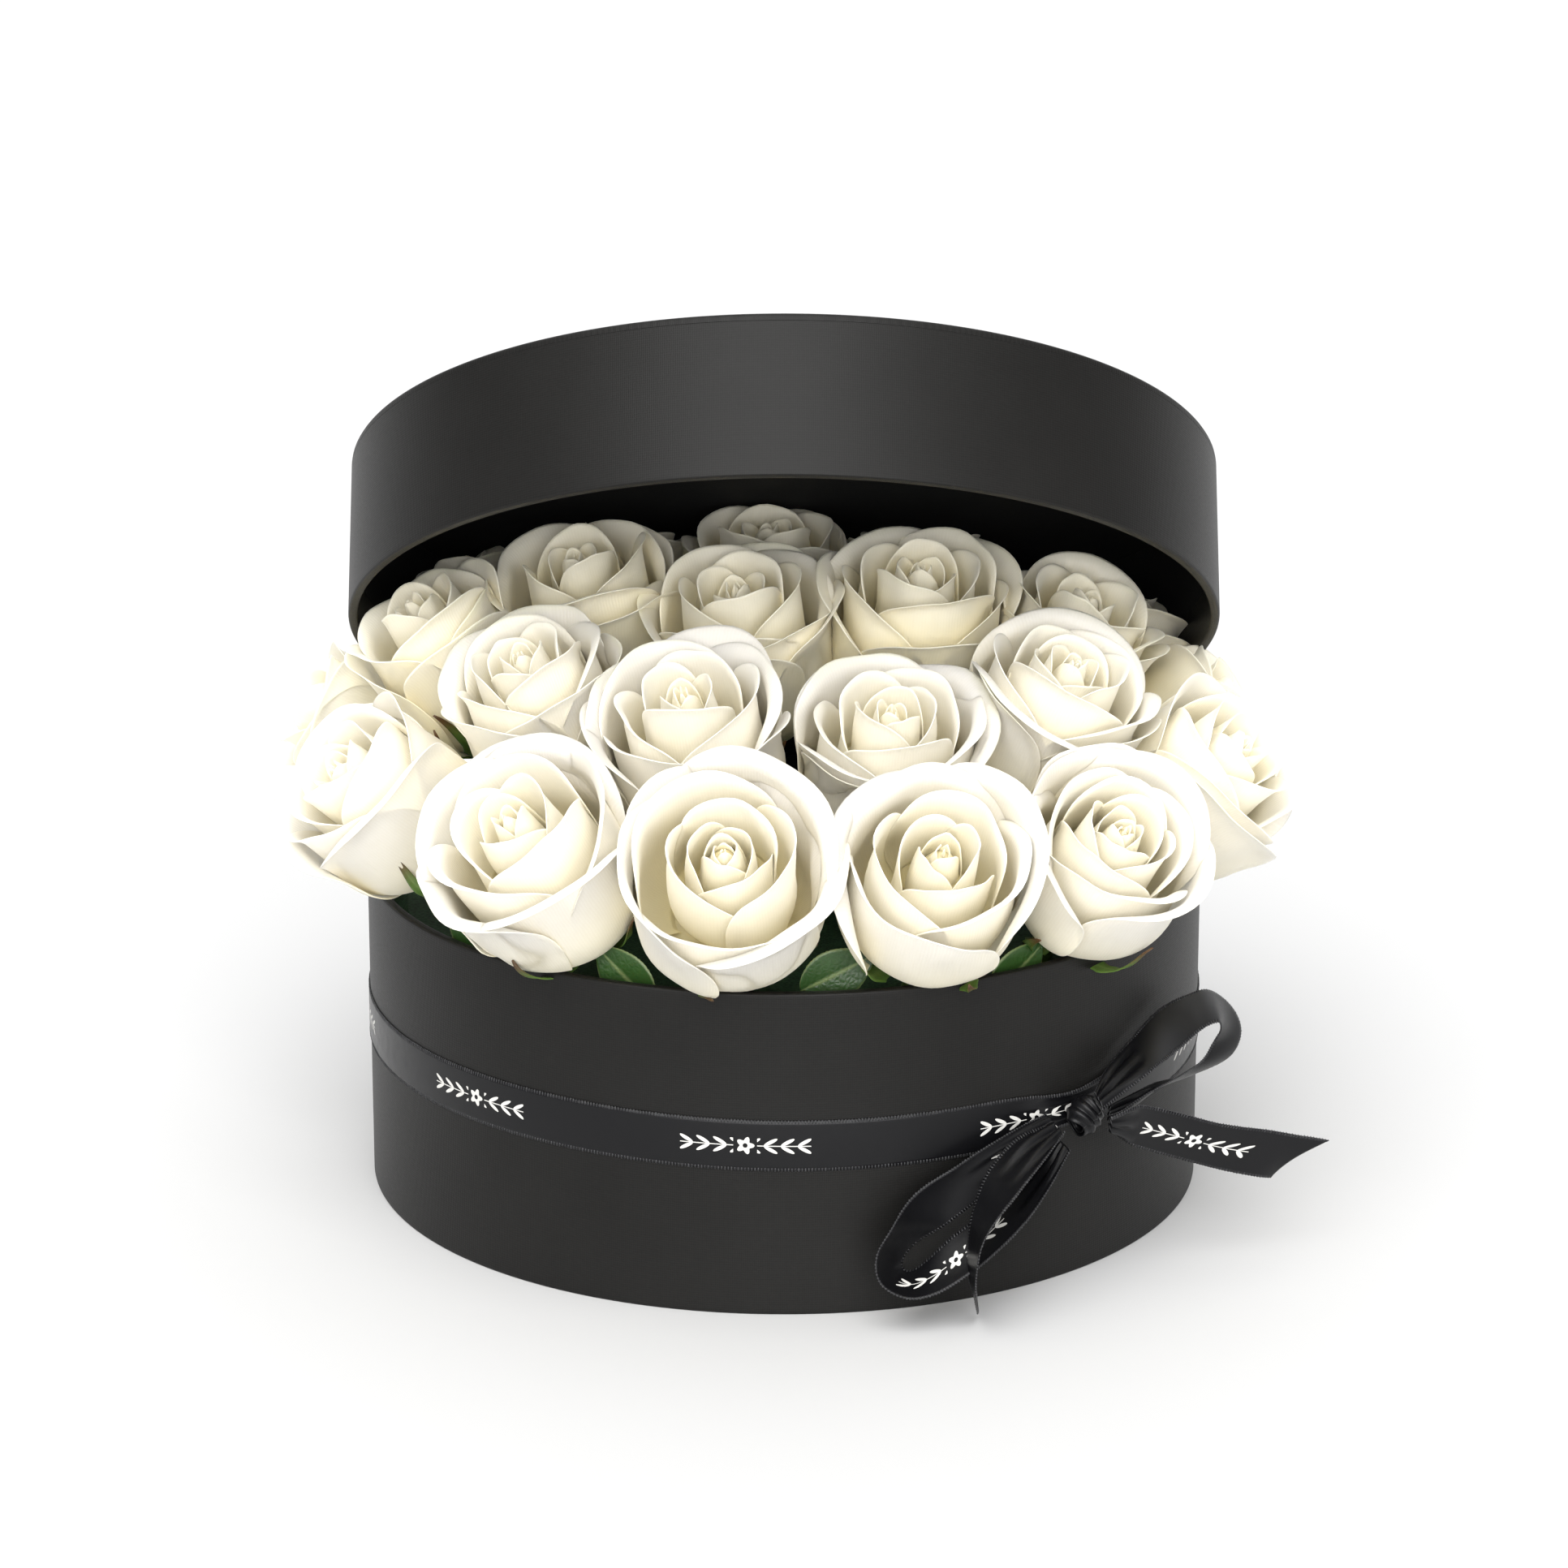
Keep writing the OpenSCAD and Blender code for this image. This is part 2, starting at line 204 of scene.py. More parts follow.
def leaf_print(tree, along, across):
    """Where the white print lies: a small flower with a sprig each side, nine times round."""

    def do(operation, *values):
        return sums(tree, operation, *values)

    def from_middle(value, run):
        """How far a value is from the middle of the run that it lies in, of equal runs end to end."""
        return do("SUBTRACT", times(tree, do("FRACT", times(tree, value, 1 / run)), run), run / 2)

    cell = from_middle(along, 2 * math.pi * BOX_RADIUS / 9)
    reach = do("ABSOLUTE", cell)
    span = do("SQRT", do("ADD", times(tree, cell, cell), times(tree, across, across)))
    lobes = do("COSINE", times(tree, do("ARCTAN2", across, cell), 5.0))
    outline = do("MULTIPLY_ADD", lobes, 0.55 * MM, 2.1 * MM)
    bloom = times(tree, do("LESS_THAN", span, outline), do("GREATER_THAN", span, 0.7 * MM))
    beside = from_middle(reach, 4.8 * MM)
    lift = do("SUBTRACT", do("ABSOLUTE", across), 1.15 * MM)
    slant = do("SUBTRACT", lift, times(tree, beside, 0.5))
    squares = [do("POWER", do("ABSOLUTE", times(tree, way, 1 / half)), 2.0)
               for way, half in ((beside, 1.9 * MM), (slant, 0.6 * MM))]
    oval = do("ADD", *squares)
    leaf = do("LESS_THAN", oval, 1.0)
    stalk = do("LESS_THAN", do("ABSOLUTE", across), 0.14 * MM)
    within = times(tree, do("GREATER_THAN", reach, 3.4 * MM), do("LESS_THAN", reach, 18.6 * MM))
    garland = times(tree, within, do("MAXIMUM", leaf, stalk))
    return do("MAXIMUM", bloom, garland)


def petal_skin():
    """Thin waxy petal: its own tint, fine veins towards the lip, and light passing through it."""
    material, tree, shader = finish(
        "rose_petal_skin", Roughness=0.5, Specular_IOR_Level=0.3, Subsurface_Weight=0.5,
        Subsurface_Scale=0.005, Sheen_Weight=0.12, Sheen_Roughness=0.5)
    shader.inputs["Subsurface Radius"].default_value = (1.0, 1.0, 0.9)
    tint = add(tree, "ShaderNodeAttribute", attribute_name="tint").outputs["Color"]
    parts = cloth_parts(tree)
    solid = own_space(tree)
    wander = noise(tree, solid, 90.0, 2.0)
    veins = threads(tree, parts[0], 0.9 * MM, times(tree, wander, 9.0))
    mottle = noise(tree, solid, 260.0, 3.0)
    tone = sums(tree, "MULTIPLY_ADD", mottle, 0.5, times(tree, veins, 0.25))
    shade = ramp(tree, tone, [(0.2, (0.975, 0.97, 0.955)), (0.6, (1.0, 1.0, 1.0))])
    tree.links.new(blended(tree, 1.0, tint, shade, "MULTIPLY"), shader.inputs["Base Color"])
    raise_surface(tree, shader, sums(tree, "MULTIPLY_ADD", veins, 0.5, mottle), 0.10 * MM, 0.5)
    return material


def leaf_skin(name, gloss):
    """Green skin with its own tint, a net of veins and a waxy surface."""
    material, tree, shader = finish(name, Specular_IOR_Level=0.5, Roughness=gloss,
                                    Subsurface_Weight=0.1, Subsurface_Scale=0.002)
    tint = add(tree, "ShaderNodeAttribute", attribute_name="tint").outputs["Color"]
    solid = own_space(tree)
    net = add(tree, "ShaderNodeTexVoronoi", {"Vector": solid, "Scale": 700.0},
              feature="DISTANCE_TO_EDGE").outputs["Distance"]
    cloud = noise(tree, solid, 160.0, 4.0)
    shade = ramp(tree, cloud, [(0.3, (0.72, 0.76, 0.66)), (0.75, (1.0, 1.0, 1.0))])
    tree.links.new(blended(tree, 1.0, tint, shade, "MULTIPLY"), shader.inputs["Base Color"])
    raise_surface(tree, shader, sums(tree, "MULTIPLY_ADD", net, 2.5, cloud), 0.12 * MM, 0.5)
    return material


def plain_skin(name, low, high, scale, roughness, relief, pits=0.0):
    """A moulded or grown surface: two tones in a noise, with relief to match, and pits for foam."""
    material, tree, shader = finish(name, Specular_IOR_Level=0.35, Roughness=roughness)
    solid = own_space(tree)
    grain = noise(tree, solid, scale, 5.0)
    if pits:
        cells = add(tree, "ShaderNodeTexVoronoi", {"Vector": solid, "Scale": pits}).outputs["Distance"]
        grain = sums(tree, "MULTIPLY_ADD", cells, 0.7, times(tree, grain, 0.5))
    tree.links.new(ramp(tree, grain, [(0.3, low), (0.72, high)]), shader.inputs["Base Color"])
    raise_surface(tree, shader, grain, relief, 0.6)
    return material


LINEN = (0.0080, 0.0077, 0.0072)
linen_round = linen_paper("linen_paper_cover", LINEN, True)
linen_under = linen_paper("linen_paper_disc", LINEN, False)
lining = smooth_paper("black_lining_paper", (0.006, 0.006, 0.006))
board = plain_skin("grey_board", (0.20, 0.19, 0.175), (0.34, 0.325, 0.30), 900.0, 0.85, 0.05 * MM)
satin_printed = satin("printed_satin", True)
satin_plain = satin("plain_satin", False)
edge_thread = plain_skin("edge_thread", (0.010, 0.010, 0.011), (0.05, 0.05, 0.053),
                         1400.0, 0.5, 0.02 * MM)
petal_finish = petal_skin()
sepal_finish = leaf_skin("sepal_skin", 0.5)
leaf_finish = leaf_skin("leaf_skin", 0.38)
stem_finish = plain_skin("stem_skin", (0.05, 0.10, 0.02), (0.12, 0.20, 0.05), 300.0, 0.45, 0.10 * MM)
foam_finish = plain_skin("wet_foam", (0.006, 0.020, 0.008), (0.020, 0.058, 0.024),
                         260.0, 0.8, 0.3 * MM, 900.0)
liner_finish = plain_skin("liner_plastic", (0.010, 0.011, 0.010), (0.02, 0.022, 0.02),
                          500.0, 0.35, 0.02 * MM)


# ---------------------------------------------------------------- shapes

class Shells:
    """Collects the closed shells of one piece, with a tint and a place on the cloth for each point."""

    def __init__(self):
        self.points, self.faces, self.tints, self.places, self.count = [], [], [], [], 0

    def take(self, points, faces, tints, places):
        self.points.append(points)
        self.faces.append(faces + self.count)
        self.tints.append(tints)
        self.places.append(places)
        self.count += len(points)

    def sheet(self, grid, thick, tint, place, thin_rim=0.5):
        """A closed shell of a thickness about a grid of points, rows by columns."""
        rows, columns = grid.shape[:2]
        down = np.gradient(grid, axis=0)
        over = np.gradient(grid, axis=1)
        out = np.cross(down, over)
        out /= np.maximum(np.linalg.norm(out, axis=2, keepdims=True), 1e-12)
        half = np.full((rows, columns, 1), thick / 2)
        half[0], half[-1], half[:, 0], half[:, -1] = (half[0] * thin_rim, half[-1] * thin_rim,
                                                      half[:, 0] * thin_rim, half[:, -1] * thin_rim)
        points = np.concatenate([(grid + out * half).reshape(-1, 3), (grid - out * half).reshape(-1, 3)])
        index = np.arange(rows * columns).reshape(rows, columns)
        a, b, c, d = index[:-1, :-1], index[1:, :-1], index[1:, 1:], index[:-1, 1:]
        upper = np.stack([a, b, c, d], -1).reshape(-1, 4)
        back = rows * columns
        lower = np.stack([a, d, c, b], -1).reshape(-1, 4) + back
        rim = np.concatenate([index[:, 0], index[-1, 1:], index[-2::-1, -1], index[0, -2:0:-1]])
        following = np.roll(rim, -1)
        edge = np.stack([following, rim, rim + back, following + back], -1)
        tints = np.broadcast_to(tint, (rows, columns, 3)).reshape(-1, 3)
        places = place.reshape(-1, 2)
        self.take(points, np.concatenate([upper, lower, edge]), np.concatenate([tints, tints]),
                  np.concatenate([places, places]))

    def piece(self, name, material):
        mesh = bpy.data.meshes.new(name)
        mesh.from_pydata(np.concatenate(self.points), [], np.concatenate(self.faces).tolist())
        tint = mesh.color_attributes.new(name="tint", type="FLOAT_COLOR", domain="POINT")
        colours = np.ones((self.count, 4), np.float32)
        colours[:, :3] = np.concatenate(self.tints)
        tint.data.foreach_set("color", colours.ravel())
        corners = np.empty(len(mesh.loops), np.int32)
        mesh.loops.foreach_get("vertex_index", corners)
        cloth = mesh.uv_layers.new(name="cloth")
        cloth.data.foreach_set("uv", np.concatenate(self.places).astype(np.float32)[corners].ravel())
        return dressed(name, mesh, material)


def dressed(name, mesh, material):
    """A smooth-shaded object of a mesh, with its material."""
    mesh.polygons.foreach_set("use_smooth", np.ones(len(mesh.polygons), bool))
    mesh.materials.append(material)
    mesh.validate()
    made = bpy.data.objects.new(name, mesh)
    bpy.context.scene.collection.objects.link(made)
    return made


def unit(v):
    v = np.asarray(v, float)
    return v / np.linalg.norm(v)


def paired(along, across):
    """Two distances spread over one grid, as places on the cloth map."""
    return np.stack(np.broadcast_arrays(along, across), -1)


def corners_of(node):
    """The corner points of a CAD node."""
    mesh = nodes[node].data
    points = np.empty(3 * len(mesh.vertices))
    mesh.vertices.foreach_get("co", points)
    return points.reshape(-1, 3)


def flat_faces(node):
    """The two largest flat faces of a CAD node: (area, middle, outward direction)."""
    mesh = nodes[node].data
    count = len(mesh.polygons)
    normal, middle, area = np.empty(3 * count), np.empty(3 * count), np.empty(count)
    mesh.polygons.foreach_get("normal", normal)
    mesh.polygons.foreach_get("center", middle)
    mesh.polygons.foreach_get("area", area)
    normal, middle = normal.reshape(-1, 3), middle.reshape(-1, 3)
    _, group = np.unique(np.round(normal, 2), axis=0, return_inverse=True)
    group = group.ravel()
    total = np.bincount(group, area)
    faces = []
    for one in np.argsort(-total)[:2]:
        share = (area * (group == one))[:, None]
        faces.append((total[one], (middle * share).sum(0) / share.sum(), unit((normal * share).sum(0))))
    return faces


def rounded(outline, sizes, steps=4):
    """A closed outline of (radius, height) with its corners rounded by the given sizes."""
    made = []
    count = len(outline)
    for i, (corner, size) in enumerate(zip(outline, sizes)):
        before, after = np.array(outline[i - 1]), np.array(outline[(i + 1) % count])
        corner = np.array(corner)
        if not size:
            made.append(tuple(corner))
            continue
        start = corner + unit(before - corner) * size
        end = corner + unit(after - corner) * size
        if np.linalg.norm(before - corner) > 5 * size:
            made.append(tuple(corner + unit(before - corner) * size * 2.2))
        for k in range(steps + 1):
            t = k / steps
            made.append(tuple((1 - t) ** 2 * start + 2 * t * (1 - t) * corner + t * t * end))
        if np.linalg.norm(after - corner) > 5 * size:
            made.append(tuple(corner + unit(after - corner) * size * 2.2))
    return made


def turned(name, outline, material, place=None, turns=288, flat=False):
    """A closed outline turned about the Z axis and put in place. Its cloth map runs round it, or lies
    flat across a disc."""
    line = np.array(outline)
    run = np.concatenate([[0], np.cumsum(np.linalg.norm(np.diff(line, axis=0), axis=1))])
    angle = np.linspace(0, 2 * math.pi, turns, endpoint=False)
    rows = len(line)
    radius = line[:, 0][:, None]
    points = np.stack([radius * np.cos(angle), radius * np.sin(angle),
                       np.repeat(line[:, 1][:, None], turns, 1)], -1).reshape(-1, 3)
    index = np.arange(rows * turns).reshape(rows, turns)
    ahead = np.roll(index, -1, 0)
    quads = np.stack([index, np.roll(index, -1, 1), np.roll(ahead, -1, 1), ahead], -1).reshape(-1, 4)
    across_disc = points[:, :2]
    if place is not None:
        points = np.array([place @ Vector(p) for p in points])
    mesh = bpy.data.meshes.new(name)
    mesh.from_pydata(points, [], quads.tolist())
    reach = line[:, 0].max()
    cloth = mesh.uv_layers.new(name="cloth")
    k = np.arange(rows * turns)
    row, turn = k // turns, k % turns
    here = np.stack([turn, turn + 1, turn + 1, turn], -1) * (2 * math.pi * reach / turns)
    ahead_run = np.append(run[1:], run[-1] + np.linalg.norm(line[-1] - line[0]))
    there = np.stack([run[row], run[row], ahead_run[row], ahead_run[row]], -1)
    uv = across_disc[quads] if flat else np.stack([here, there], -1)
    cloth.data.foreach_set("uv", uv.astype(np.float32).ravel())
    made = dressed(name, mesh, material)
    mesh.set_sharp_from_angle(angle=math.radians(40))
    return made


def ripple(rng, reach, waves=5):
    """A smooth random surface over (across, up), about -1 to 1."""
    pace = rng.uniform(-reach, reach, (waves, 2))
    start = rng.uniform(0, 2 * math.pi, waves)
    size = rng.uniform(0.5, 1.0, waves)
    size /= size.sum()

    def height(x, y):
        return sum(a * np.sin(p[0] * x + p[1] * y + s) for a, p, s in zip(size, pace, start))
    return height


def smoothstep(x):
    x = np.clip(x, 0, 1)
    return x * x * (3 - 2 * x)


# ---------------------------------------------------------------- roses

class Head:
    """Where a rose head stands: its base, the way it faces, its size and its own directions."""

    def __init__(self, node):
        (_, top, _), (_, base, _) = flat_faces(node)
        self.base, self.facing = base, unit(top - base)
        self.height = float(np.linalg.norm(top - base))
        offset = corners_of(node) - base
        beside = offset - np.outer(offset @ self.facing, self.facing)
        self.radius = float(np.linalg.norm(beside, axis=1).max())
        front = np.array([0.0, -1.0, 0.0])
        self.front = unit(front - self.facing * (front @ self.facing))
        self.right = np.cross(self.facing, self.front)

    def put(self, radius, turn, height):
        """Points from a radius, a turn from the front towards the right, and a height."""
        return (self.base + (radius * np.cos(turn))[..., None] * self.front
                + (radius * np.sin(turn))[..., None] * self.right + height[..., None] * self.facing)


# The length along a petal for each unit of its height, before its curl is fitted
RUN = 1.15
PETAL_THICK = 0.34 * MM
SEPAL_THICK = 0.45 * MM
LEAF_THICK = 0.5 * MM


def petal_lean(length, start, widest, waist):
    """How far the petal leans out at its foot to reach its widest radius."""
    low, high = 0.001, 1.45
    for _ in range(24):
        lean = (low + high) / 2
        reach = start + length * waist * (1 - math.cos(lean)) / lean
        low, high = (lean, high) if reach < widest else (low, lean)
    return (low + high) / 2


def petal_surface(form, rng, columns, rows):
    """Radius, turn and height of a petal's grid, and how far up and across each point is."""
    s = np.sin(np.linspace(-1, 1, columns) * math.pi / 2)[None, :]
    up = (1 - (1 - np.linspace(form["start"], 1, rows)) ** 1.25)[:, None]
    edge = ripple(rng, 9.0)
    arch = np.clip(1 - np.abs(s) ** form["square"], 0, 1) ** 0.5
    top = (form["shoulder"] + (1 - form["shoulder"]) * arch + 0.010 * edge(s, 0 * s)
           + form["slope"] * s + form["point"] * np.exp(-(s / 0.16) ** 2))
    t = up * top
    lip_noise = ripple(rng, 4.0)
    lip = form["curl"] * (0.9 + 0.34 * lip_noise(s, 0 * s)) * (1 - 0.9 * np.abs(s) ** 6)
    lip_run = form["lip"] * (1 + 0.25 * lip_noise(s + 3, 0 * s))
    length = form["height"] * RUN
    for _ in range(6):
        lean = petal_lean(length, form["foot"], form["radius"], form["waist"])
        body = np.where(t < form["waist"], lean * (1 - t / form["waist"]),
                        -form["close"] * (t - form["waist"]) / (1 - form["waist"]))
        bend = smoothstep((t - (top - lip_run)) / lip_run) ** 1.15
        angle = body + lip * bend
        step = np.diff(t, axis=0) * length
        middle = (angle[1:] + angle[:-1]) / 2
        first = t[:1] * length
        foot_lean = lean * (1 - t[:1] / form["waist"] / 2)
        out = np.concatenate([first * np.sin(foot_lean), np.sin(middle) * step])
        radius = form["foot"] + out.cumsum(0)
        height = np.concatenate([first * np.cos(foot_lean), np.cos(middle) * step]).cumsum(0)
        length *= form["height"] / height[:, columns // 2].max()
    spread = form["foot_width"] + (1 - form["foot_width"]) * np.sin(np.clip(t / 0.55, 0, 1) * math.pi / 2)
    turn = form["turn"] + s * form["width"] * spread
    wave = ripple(rng, 5.0)
    radius = radius * (1 + form["tuck"] * s) + form["ripple"] * wave(2 * s, 3 * t) * smoothstep(t * 1.6)
    over = smoothstep((s - 0.55) / 0.45) * smoothstep(t / 0.5)
    radius = radius + form["flare"] * over
    radius = radius + form["ruffle"] * edge(1.4 * s, t) * smoothstep((t - top + 0.3) / 0.3)
    return radius, turn, height, t, np.broadcast_to(s, t.shape)


CREAM = np.array([1.0, 0.89, 0.52])
MILK = np.array([1.0, 0.955, 0.82])
WHITE = np.array([0.90, 0.865, 0.79])
GREEN_TIP = np.array([0.82, 0.82, 0.52])


def rose(node, seed, turn, open_out, curl, petals, spread, fine):
    """A rose head: petals packed on a spiral from the tight heart to the rolled-back outer ones.

    petals counts the heart, the bud, the middle and the outer ring. spread lists the turns of
    petals that have opened right out, below the others."""
    head = Head(node)
    rng = np.random.default_rng(seed)
    R, H = head.radius, head.height
    shells = Shells()
    rings = []
    heart, bud, middle, outer = petals
    # Painted shade: heads towards the back, under the lid, are tinted creamier for the warm light bounced
    # into the lid's shade.
    lid_shade_paint = 0.9 * float(smoothstep((head.base[1] + 0.060) / 0.070))
    turns = np.linspace(0, 2 * math.pi, 25)[None, :]
    steps = np.linspace(0.03, 1, 7)[:, None]
    # A low mound fills the heart, below the tips of its petals.
    crown = (0.86 - 0.30 * steps ** 2) * H
    mound = head.put(0.27 * R * steps + 0 * turns, turns + 0 * steps, crown + 0 * turns)
    mound_place = paired(turns * 0.2 * R, steps * 0.3 * R)
    shells.sheet(mound, 0.5 * MM, CREAM, mound_place, 1.0)
    for k in range(heart):
        g = k / max(heart - 1, 1)
        rings.append(dict(radius=(0.08 + 0.17 * g) * R, height=(0.925 + 0.02 * g) * H, width=1.9 - 0.3 * g,
                          curl=0.1 + 0.3 * g, lip=0.05, close=0.25, layer=0.0, size=(22, 13), start=0.5))
    for k in range(bud):
        g = k / (bud - 1)
        rings.append(dict(radius=(0.31 + 0.24 * g * open_out) * R, height=(0.95 + 0.03 * g) * H,
                          width=1.62 - 0.17 * g, curl=(0.35 + 0.5 * g) * curl, lip=0.055 + 0.02 * g,
                          close=0.16 - 0.1 * g, layer=0.3 + 0.2 * g, size=(30, 18), start=0.4))
    for k in range(middle):
        g = k / (middle - 1)
        rings.append(dict(radius=(0.65 + 0.15 * g) * R, height=(0.965 - 0.04 * g) * H, width=1.38,
                          curl=(0.8 + 0.6 * g) * curl, lip=0.09 + 0.03 * g, close=0.05, layer=0.6 + 0.1 * g,
                          size=(36, 24), start=0.15))
    for k in range(outer):
        g = k / (outer - 1)
        rings.append(dict(radius=(0.89 + 0.09 * g) * R, height=(0.91 - 0.07 * g) * H, width=1.30,
                          curl=(1.5 + 0.5 * g) * curl, lip=0.14 + 0.03 * g, close=0.0, layer=0.85 + 0.15 * g,
                          size=(42, 30), start=0.0))
    for way in spread:
        rings.append(dict(radius=1.05 * R, height=0.82 * H, width=1.05, curl=0.9, lip=0.22, close=-0.2,
                          layer=1.0, size=(38, 28), start=0.0, way=way))
    spin = math.radians(137.5)
    for k, ring in enumerate(rings):
        layer = ring["layer"]
        columns, rows = (max(8, int(n * fine)) for n in ring["size"])
        form = dict(ring, foot=min(7.5 * MM, 0.6 * ring["radius"]), waist=0.60 - 0.08 * layer,
                    turn=ring.get("way", turn - (len(rings) - 1 - k) * spin + rng.normal(0, 0.10)),
                    shoulder=0.60 - 0.12 * layer + rng.uniform(-0.03, 0.05), square=rng.uniform(2.2, 3.0),
                    point=rng.uniform(-0.006, 0.014), foot_width=0.6, tuck=0.035 + 0.02 * (1 - layer),
                    ripple=(0.25 + 0.75 * layer) * 1.1 * MM, flare=(0.1 + 0.5 * layer) * MM,
                    ruffle=(0.25 + 0.5 * layer) * MM)
        form["slope"] = rng.normal(0, 0.015 + 0.035 * layer)
        form["height"] *= 1 + rng.normal(0, 0.012 + 0.022 * layer)
        form["width"] *= rng.uniform(0.92, 1.08)
        form["curl"] *= rng.uniform(0.4, 1.15)
        radius, around, height, t, s = petal_surface(form, rng, columns, rows)
        radius = np.clip(radius, 0.4 * MM, None)
        tone = smoothstep(t * 1.05)[..., None]
        lip_tone = smoothstep((t - 0.72) / 0.25)[..., None]
        # The painted lid shade puts milk in place of white on the outside and more cream deep in the petal.
        outside = MILK * (1 - layer) + (WHITE * (1 - lid_shade_paint) + MILK * lid_shade_paint) * layer
        deep = (1 - layer) * 0.42 + lid_shade_paint * 0.5
        tint = CREAM * (1 - tone) + (CREAM * deep + outside * (1 - deep)) * tone
        tint = tint * (1 - 0.55 * lip_tone) + outside * 0.55 * lip_tone
        green = rng.uniform(0, 0.5) * layer
        rim = smoothstep((t - 0.93) / 0.07)[..., None] * green
        tint = tint * (1 - rim) + GREEN_TIP * rim
        place = np.stack([s * form["width"] * form["radius"], t * form["height"]], -1)
        shells.sheet(head.put(radius, around, height), PETAL_THICK, tint, place)
    made = shells.piece(node + "_petals", petal_finish)
    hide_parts(node)
    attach(made, "root")
    return head


# Each rose: turn of its outermost petal, how far the bud opens, how hard the lips roll back, its
# petals (heart, bud, middle, outer), the turns of opened-out petals, and how fine its mesh is.
ROSES = {
    1: (0.6, 0.9, 0.8, (5, 4, 3, 4), (), 0.9),
    2: (2.6, 1.0, 0.9, (6, 5, 3, 4), (2.9,), 1.0),
    3: (0.9, 0.9, 0.8, (6, 4, 3, 4), (3.0, -1.1), 1.0),
    4: (-0.7, 0.95, 0.8, (8, 5, 2, 4), (2.4, -2.6), 1.0),
    5: (0.5, 0.85, 0.95, (5, 4, 3, 4), (2.8,), 1.0),
    6: (-0.2, 1.1, 0.9, (8, 6, 4, 4), (-2.9,), 1.0),
    7: (1.2, 1.0, 0.8, (6, 5, 3, 4), (0.2, 2.6), 1.0),
    8: (1.9, 0.9, 0.8, (5, 4, 3, 3), (), 0.9),
    9: (2.2, 0.8, 0.7, (5, 4, 2, 4), (0.4, -1.4, 2.4), 1.0),
    10: (1.1, 0.95, 0.9, (6, 5, 3, 4), (-0.9, 1.4, 2.9), 1.0),
    11: (-1.0, 0.95, 1.0, (6, 4, 3, 4), (0.6, -1.4, 2.6), 1.0),
    12: (2.9, 1.0, 0.9, (6, 5, 3, 4), (-0.4, 1.8, -2.6), 1.0),
    13: (0.3, 1.05, 0.9, (7, 6, 3, 4), (-1.0, 0.9, 2.8), 1.0),
    14: (-0.6, 0.8, 0.8, (5, 4, 2, 4), (0.5, -1.3, 2.5), 1.0),
    15: (1.6, 0.95, 0.9, (6, 5, 3, 4), (-0.4, 1.3, 2.9), 1.0),
    16: (-1.8, 0.95, 0.9, (7, 5, 3, 4), (0.2, -1.5, 2.3), 1.0),
    17: (2.4, 0.9, 0.8, (5, 4, 3, 4), (-0.6, 1.2), 0.9),
    18: (0.2, 0.9, 0.8, (5, 4, 3, 3), (0.5, -1.5), 0.8),
    19: (1.3, 0.9, 0.8, (5, 4, 3, 4), (0.1, 2.0), 0.8),
    20: (2.0, 0.95, 0.9, (5, 4, 3, 4), (-0.3, 1.3, -1.8), 0.9),
    21: (-0.4, 0.9, 0.8, (5, 4, 3, 4), (0.4, -2.0), 0.8),
    22: (0.8, 0.9, 0.8, (5, 4, 3, 3), (2.5,), 0.8),
    23: (1.7, 0.9, 0.8, (5, 4, 3, 3), (0.6,), 0.8),
    24: (2.3, 0.9, 0.8, (5, 4, 3, 3), (), 0.8),
    25: (0.1, 0.9, 0.8, (5, 4, 3, 3), (), 0.8),
    26: (1.0, 0.9, 0.8, (5, 4, 3, 3), (), 0.8)}
heads = [rose(f"rose_{number:02d}", 100 + number, *form) for number, form in ROSES.items()]


# ---------------------------------------------------------------- greenery

SEPAL = np.array([0.10, 0.19, 0.035])
SEPAL_PALE = np.array([0.26, 0.36, 0.12])
SEPAL_TIP = np.array([0.10, 0.016, 0.014])
LEAF_EDGE = np.array([0.36, 0.43, 0.20])


